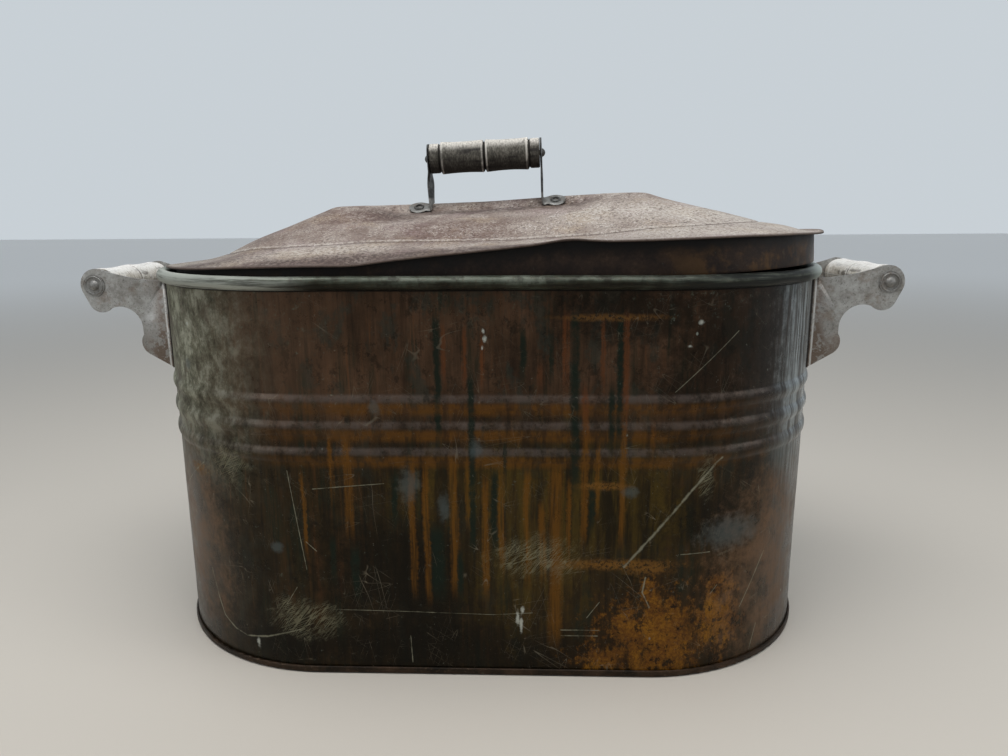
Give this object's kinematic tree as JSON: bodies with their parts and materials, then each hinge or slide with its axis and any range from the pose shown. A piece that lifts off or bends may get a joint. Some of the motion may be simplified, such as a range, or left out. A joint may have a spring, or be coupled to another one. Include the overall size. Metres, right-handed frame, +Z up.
{
  "type": "laundry wash boiler",
  "caption": "Oval copper wash boiler with raised beads, a rolled rim, wooden bail grips at its ends and a raised sheet lid resting askew.",
  "frame": {"origin": "on the table under the middle of the oval, which is the middle of the overall width and depth", "axes": "+X to the right along the oval, +Y to the back, +Z up"},
  "size_m": [0.7216, 0.3284, 0.441],
  "materials": {
    "copper": "dark patinated copper with verdigris, streaked and scratched",
    "tinned_iron": "dull mottled tinned iron",
    "lid_sheet": "dusty brown oxidised sheet",
    "aged_wood": "weathered bare wood",
    "dark_wood": "dark worn wood"
  },
  "bodies": {
    "boiler": {"side_sheet_front": "copper", "side_sheet_back": "copper", "bottom_pan": "copper", "rim_wire": "tinned_iron", "left_handle_bracket": "tinned_iron", "left_handle_rod": "tinned_iron", "left_rod_washers": "tinned_iron", "left_bracket_rivets": "tinned_iron", "left_rivet_burrs": "copper", "right_handle_bracket": "tinned_iron", "right_handle_rod": "tinned_iron", "right_rod_washers": "tinned_iron", "right_bracket_rivets": "tinned_iron", "right_rivet_burrs": "copper"},
    "left_grip": {"left_handle_grip": "aged_wood"},
    "right_grip": {"right_handle_grip": "aged_wood"},
    "lid": {"lid_cover": "lid_sheet", "lid_skirt": "lid_sheet", "lid_leg_left": "tinned_iron", "lid_leg_right": "tinned_iron", "lid_handle_rod": "tinned_iron", "lid_foot_rivets": "tinned_iron", "lid_rivet_burrs": "lid_sheet"},
    "lid_handle": {"lid_grip": "dark_wood"}
  },
  "joints": [
    {"name": "lid_lift", "type": "slide", "parent": "boiler", "child": "lid", "axis": [0, 0, 1], "range_m": [0, 0.35]},
    {"name": "left_grip_spin", "type": "hinge", "parent": "boiler", "child": "left_grip", "pos_m": [-0.3463, 0, 0.3134], "axis": [0, 1, 0], "continuous": true},
    {"name": "right_grip_spin", "type": "hinge", "parent": "boiler", "child": "right_grip", "pos_m": [0.3463, 0, 0.3134], "axis": [0, 1, 0], "continuous": true},
    {"name": "lid_grip_spin", "type": "hinge", "parent": "lid", "child": "lid_handle", "pos_m": [-0.00178, 0.00142, 0.42467], "axis": [0.9989, 0, 0.0464], "continuous": true}
  ]
}
